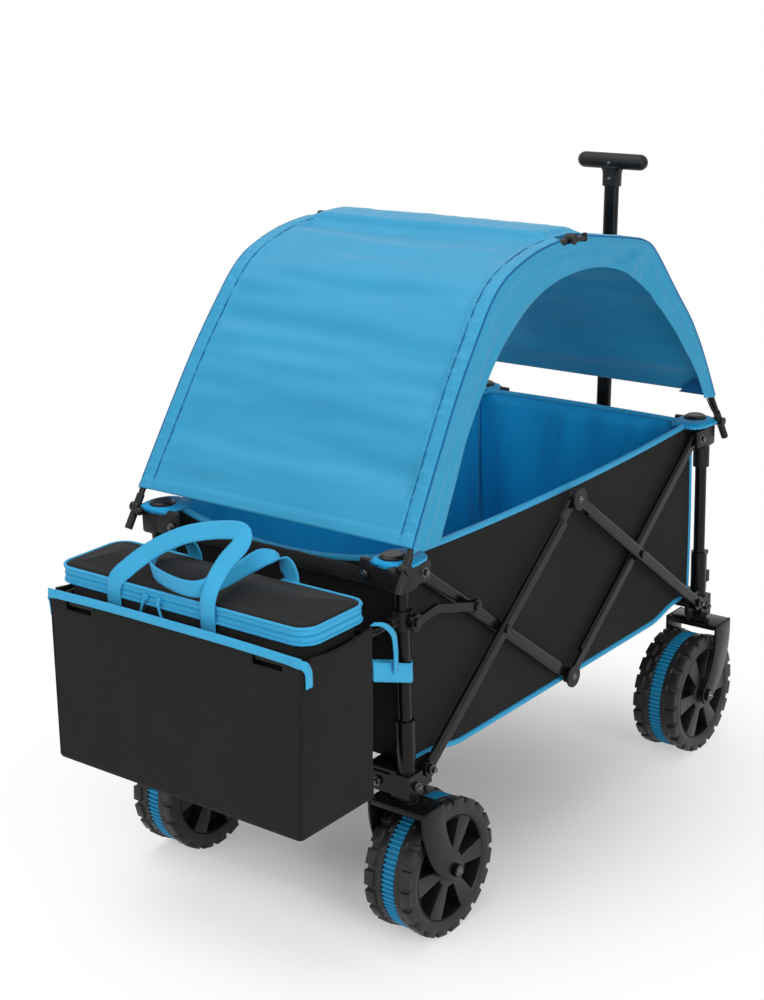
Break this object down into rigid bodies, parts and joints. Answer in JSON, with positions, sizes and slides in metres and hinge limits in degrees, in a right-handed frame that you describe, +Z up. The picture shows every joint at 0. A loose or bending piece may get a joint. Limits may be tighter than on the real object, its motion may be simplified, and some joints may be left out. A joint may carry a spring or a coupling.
{
  "type": "stroller wagon",
  "caption": "Folding stroller wagon: cloth tub on a scissor frame with castor wheels, arched canopy, T pull handle and a rear basket holding a cooler bag.",
  "frame": {"origin": "on the floor under the middle of the whole wagon", "axes": "+X towards the pull handle end, +Y to the left, +Z up"},
  "size_m": [1.1242, 0.554, 0.9759],
  "materials": {
    "black_steel": "powder coat",
    "bolt_steel": "blackened",
    "black_plastic": "moulded",
    "black_cloth": "coated polyester",
    "tub_cloth": "coated polyester",
    "blue_cloth": "coated polyester",
    "blue_webbing": "webbing",
    "tyre_rubber": "matte",
    "blue_band": "moulded",
    "rim_plastic": "moulded"
  },
  "bodies": {
    "rear_base": {"rear_brackets": "black_steel", "rear_base_tubes": "black_steel", "rear_forks": "black_steel", "rear_axles": "bolt_steel"},
    "link_a": {"links_a": "black_steel", "pins_a": "bolt_steel"},
    "link_b": {"links_b": "black_steel"},
    "link_c": {"links_c": "black_steel", "pins_c": "bolt_steel"},
    "link_d": {"links_d": "black_steel"},
    "rear_top": {"rear_hoop": "black_steel", "rear_top_brackets": "black_plastic", "rear_caps": "black_plastic", "rail_collars": "black_plastic", "basket_rail": "black_steel", "basket": "black_cloth", "basket_straps": "blue_webbing", "tub_rear_wall": "tub_cloth", "tub_side_right": "tub_cloth", "tub_side_left": "tub_cloth", "tub_floor": "tub_cloth"},
    "front_top": {"front_hoop": "black_steel", "front_top_brackets": "black_plastic", "front_caps": "black_plastic", "tub_front_wall": "tub_cloth"},
    "front_base": {"front_brackets": "black_steel", "front_base_tubes": "black_steel", "handle_bracket": "black_steel"},
    "rail_strut": {"rail_struts": "black_steel"},
    "canopy_rear": {"canopy_poles_rear": "black_steel", "canopy_roof_rear": "blue_cloth", "canopy_valances": "blue_cloth"},
    "canopy_front": {"canopy_poles_front": "black_steel", "canopy_roof_front": "blue_cloth"},
    "handle_outer": {"handle_tube": "black_steel"},
    "handle_slider": {"handle_bar": "black_steel", "handle_grip": "black_plastic"},
    "castor_right": {"fork_front_right": "black_steel", "axle_front_right": "bolt_steel"},
    "castor_left": {"fork_front_left": "black_steel", "axle_front_left": "bolt_steel"},
    "latch_right": {"latch_right": "black_plastic"},
    "latch_left": {"latch_left": "black_plastic"},
    "cooler": {"cooler_bag": "black_cloth", "carry_handles": "blue_webbing"},
    "lid": {"cooler_lid": "black_cloth", "cooler_zip": "blue_webbing"},
    "wheel_rear_right": {"tyre_rear_right": "tyre_rubber", "band_rear_right": "blue_band", "rim_rear_right": "rim_plastic"},
    "wheel_rear_left": {"tyre_rear_left": "tyre_rubber", "band_rear_left": "blue_band", "rim_rear_left": "rim_plastic"},
    "wheel_front_right": {"tyre_front_right": "tyre_rubber", "band_front_right": "blue_band", "rim_front_right": "rim_plastic"},
    "wheel_front_left": {"tyre_front_left": "tyre_rubber", "band_front_left": "blue_band", "rim_front_left": "rim_plastic"}
  },
  "joints": [
    {"name": "frame_fold", "type": "hinge", "parent": "rear_base", "child": "link_a", "pos_m": [-0.31956, 0, 0.254], "axis": [0, -1, 0], "range_deg": [0, 36], "deforming": ["tub_side_right", "tub_side_left", "tub_floor"]},
    {"name": "knee_top", "type": "hinge", "parent": "link_a", "child": "link_d", "pos_m": [0.05844, 0, 0.54], "axis": [0, -1, 0], "range_deg": [-73, 1]},
    {"name": "front_base_pivot", "type": "hinge", "parent": "link_d", "child": "front_base", "pos_m": [0.43644, 0, 0.254], "axis": [0, -1, 0], "range_deg": [-1, 37]},
    {"name": "cross_pivot", "type": "hinge", "parent": "link_a", "child": "link_b", "pos_m": [-0.13056, 0, 0.397], "axis": [0, -1, 0], "range_deg": [-73, 1]},
    {"name": "knee_bottom", "type": "hinge", "parent": "link_b", "child": "link_c", "pos_m": [0.05844, 0, 0.254], "axis": [0, -1, 0], "range_deg": [-1, 73]},
    {"name": "rear_top_pivot", "type": "hinge", "parent": "link_b", "child": "rear_top", "pos_m": [-0.31956, 0, 0.54], "axis": [0, -1, 0], "range_deg": [-1, 37]},
    {"name": "front_top_pivot", "type": "hinge", "parent": "link_c", "child": "front_top", "pos_m": [0.43644, 0, 0.54], "axis": [0, -1, 0], "range_deg": [-37, 1]},
    {"name": "strut_pivot", "type": "hinge", "parent": "rear_top", "child": "rail_strut", "pos_m": [-0.34956, 0, 0.48], "axis": [0, -1, 0], "range_deg": [-45.28, 1]},
    {"name": "canopy_foot", "type": "hinge", "parent": "rear_top", "child": "canopy_rear", "pos_m": [-0.36856, 0, 0.559], "axis": [0, -1, 0], "range_deg": [-1, 30.85]},
    {"name": "canopy_ridge", "type": "hinge", "parent": "canopy_rear", "child": "canopy_front", "pos_m": [0.05844, 0, 0.928], "axis": [0, -1, 0], "range_deg": [-60.7, 1], "deforming": ["canopy_valances"]},
    {"name": "handle_tilt", "type": "hinge", "parent": "front_base", "child": "handle_outer", "pos_m": [0.50844, 0, 0.239], "axis": [0, 1, 0], "range_deg": [0, 80]},
    {"name": "handle_slide", "type": "slide", "parent": "handle_outer", "child": "handle_slider", "axis": [0.0558, 0, 0.9984], "range_m": [-0.19, 0]},
    {"name": "castor_right_swivel", "type": "hinge", "parent": "front_base", "child": "castor_right", "pos_m": [0.46644, -0.224, 0.2], "axis": [0, 0, 1], "continuous": true},
    {"name": "castor_left_swivel", "type": "hinge", "parent": "front_base", "child": "castor_left", "pos_m": [0.46644, 0.224, 0.2], "axis": [0, 0, 1], "continuous": true},
    {"name": "wheel_rear_right_spin", "type": "hinge", "parent": "rear_base", "child": "wheel_rear_right", "pos_m": [-0.30356, -0.224, 0.1], "axis": [0, 1, 0], "continuous": true},
    {"name": "wheel_rear_left_spin", "type": "hinge", "parent": "rear_base", "child": "wheel_rear_left", "pos_m": [-0.30356, 0.224, 0.1], "axis": [0, 1, 0], "continuous": true},
    {"name": "wheel_front_right_spin", "type": "hinge", "parent": "castor_right", "child": "wheel_front_right", "pos_m": [0.42044, -0.224, 0.1], "axis": [0, 1, 0], "continuous": true},
    {"name": "wheel_front_left_spin", "type": "hinge", "parent": "castor_left", "child": "wheel_front_left", "pos_m": [0.42044, 0.224, 0.1], "axis": [0, 1, 0], "continuous": true},
    {"name": "latch_right_lift", "type": "hinge", "parent": "front_base", "child": "latch_right", "pos_m": [0.48424, -0.224, 0.328], "axis": [0, -1, 0], "range_deg": [0, 25]},
    {"name": "latch_left_lift", "type": "hinge", "parent": "front_base", "child": "latch_left", "pos_m": [0.48424, 0.224, 0.328], "axis": [0, -1, 0], "range_deg": [0, 25]},
    {"name": "cooler_lift", "type": "slide", "parent": "rear_top", "child": "cooler", "axis": [0, 0, 1], "range_m": [0, 0.27]},
    {"name": "lid_open", "type": "hinge", "parent": "cooler", "child": "lid", "pos_m": [-0.42036, 0, 0.504], "axis": [0, 1, 0], "range_deg": [0, 95], "deforming": ["carry_handles"]}
  ],
  "couplings": [
    {"joint": "knee_top", "follows": "frame_fold", "ratio": -2},
    {"joint": "front_base_pivot", "follows": "frame_fold", "ratio": 1},
    {"joint": "cross_pivot", "follows": "frame_fold", "ratio": -2},
    {"joint": "knee_bottom", "follows": "frame_fold", "ratio": 2},
    {"joint": "rear_top_pivot", "follows": "frame_fold", "ratio": 1},
    {"joint": "front_top_pivot", "follows": "frame_fold", "ratio": -1},
    {"joint": "strut_pivot", "follows": "frame_fold", "ratio": -1.23},
    {"joint": "canopy_foot", "follows": "frame_fold", "ratio": 0.8291},
    {"joint": "canopy_ridge", "follows": "frame_fold", "ratio": -1.6582}
  ]
}
